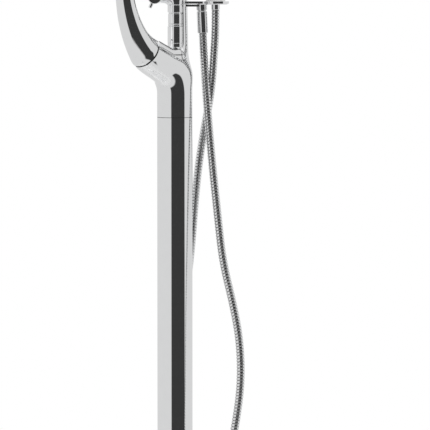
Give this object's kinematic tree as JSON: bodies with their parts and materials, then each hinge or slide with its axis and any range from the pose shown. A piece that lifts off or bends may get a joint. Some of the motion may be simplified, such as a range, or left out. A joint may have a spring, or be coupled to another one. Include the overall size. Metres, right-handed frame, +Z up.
{
  "type": "floor standing bath filler",
  "caption": "Chrome floor standing bath filler: round column, forked top with curved spout, diverter post, lever mixer, and a hand shower on a ribbed hose.",
  "frame": {"origin": "on the floor, on the column's axis", "axes": "+Z up the column, -Y towards the bather (the side the picture shows), +X to the hand shower's side"},
  "size_m": [0.3016, 0.2695, 1.154],
  "materials": {
    "chrome": "polished",
    "seal_rubber": "matt",
    "brass": "satin",
    "steel": "satin",
    "inner_plastic": "matt",
    "nozzle_rubber": "matt",
    "spray_face": "gloss"
  },
  "bodies": {
    "filler": {"floor_flange": "steel", "base_collar": "steel", "floor_seal": "seal_rubber", "base_cover": "chrome", "base_grub_screws": "steel", "column_tube": "chrome", "joint_sleeve": "brass", "joint_screws": "steel", "seam_gasket": "seal_rubber", "hot_inlet": "brass", "cold_inlet": "brass", "hot_supply_pipe": "brass", "cold_supply_pipe": "brass", "inlet_plate": "brass", "inlet_nuts": "brass", "check_valves": "inner_plastic", "fork_casting": "chrome", "spout_joint_ring": "seal_rubber", "spout_joint_sleeve": "brass", "spout_o_rings": "seal_rubber", "spout_arm": "chrome", "aerator_washer": "seal_rubber", "aerator_housing": "chrome", "aerator_insert": "inner_plastic", "post_foot": "chrome", "post_barrel": "chrome", "post_band": "chrome", "post_sleeve": "chrome", "post_collar": "chrome", "diverter_tee": "chrome", "diverter_cartridge": "inner_plastic", "mixer_body": "chrome", "mixer_cartridge": "inner_plastic", "cartridge_nut": "brass", "mixer_cover": "chrome", "holder_plate": "chrome", "plate_screws": "steel", "holder_liner": "inner_plastic", "outlet_arm": "chrome", "outlet_washer": "seal_rubber", "hose_nut": "chrome", "shower_hose": "chrome"},
    "diverter": {"diverter_stem": "steel", "diverter_knob": "chrome", "diverter_pin": "chrome", "diverter_grub_screw": "steel"},
    "cap": {"mixer_cap": "chrome", "lever_pin": "steel"},
    "lever": {"mixer_lever": "chrome"},
    "handset": {"handset_body": "chrome", "handset_cone_nut": "chrome", "hose_ferrule": "chrome", "handset_washer": "seal_rubber", "handset_check_valve": "inner_plastic", "handset_spray_plate": "spray_face", "handset_nozzles": "nozzle_rubber", "handset_cap": "chrome"}
  },
  "joints": [
    {"name": "diverter_turn", "type": "hinge", "parent": "filler", "child": "diverter", "pos_m": [-0.0333, -0.0245, 0.9568], "axis": [0, -1, 0], "range_deg": [0, 90]},
    {"name": "mixer_turn", "type": "hinge", "parent": "filler", "child": "cap", "pos_m": [0.0037, 0.0045, 1.034], "axis": [0, 0, 1], "range_deg": [-40, 40]},
    {"name": "mixer_lift", "type": "hinge", "parent": "cap", "child": "lever", "pos_m": [0.0037, 0.0045, 1.0453], "axis": [-1, 0, 0], "range_deg": [0, 25]},
    {"name": "handset_lift", "type": "slide", "parent": "filler", "child": "handset", "axis": [0, 0, 1], "range_m": [0, 0.09]}
  ]
}
